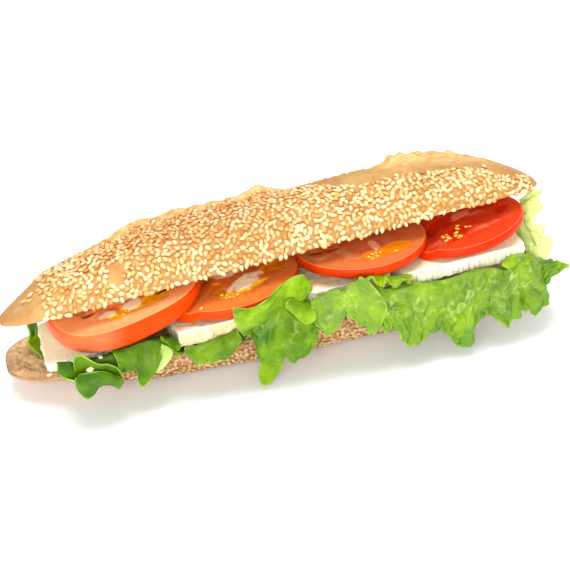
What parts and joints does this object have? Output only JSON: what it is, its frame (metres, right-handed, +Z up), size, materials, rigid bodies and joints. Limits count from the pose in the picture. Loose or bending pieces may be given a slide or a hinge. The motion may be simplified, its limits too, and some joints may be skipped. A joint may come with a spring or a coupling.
{
  "type": "brie sandwich",
  "caption": "Split sesame half-baguette filled with frilly lettuce, brie slabs and tomato slices, lying on its flat foot with the filled side open to the front.",
  "frame": {"origin": "centre of the flat foot of the bottom bread", "axes": "+X along the loaf to the right as seen from the open side, +Y towards the closed back, +Z up"},
  "size_m": [0.27, 0.0977, 0.0789],
  "materials": {
    "sesame_crust": "baked crust, matte with a faint sheen",
    "tomato_flesh": "wet and glossy",
    "brie_cheese": "soft, slightly waxy",
    "lettuce_leaf": "fresh leaf, soft gloss"
  },
  "bodies": {
    "root": {"bottom_bread": "sesame_crust", "top_bread": "sesame_crust", "tomato_1": "tomato_flesh", "tomato_2": "tomato_flesh", "tomato_3": "tomato_flesh", "tomato_4": "tomato_flesh", "brie_1": "brie_cheese", "brie_2": "brie_cheese", "brie_3": "brie_cheese", "brie_4": "brie_cheese", "lettuce_left": "lettuce_leaf", "lettuce_end": "lettuce_leaf", "lettuce_tongue": "lettuce_leaf", "lettuce_middle": "lettuce_leaf", "lettuce_fold": "lettuce_leaf", "lettuce_right": "lettuce_leaf", "lettuce_tip": "lettuce_leaf", "lettuce_back": "lettuce_leaf"}
  },
  "joints": []
}
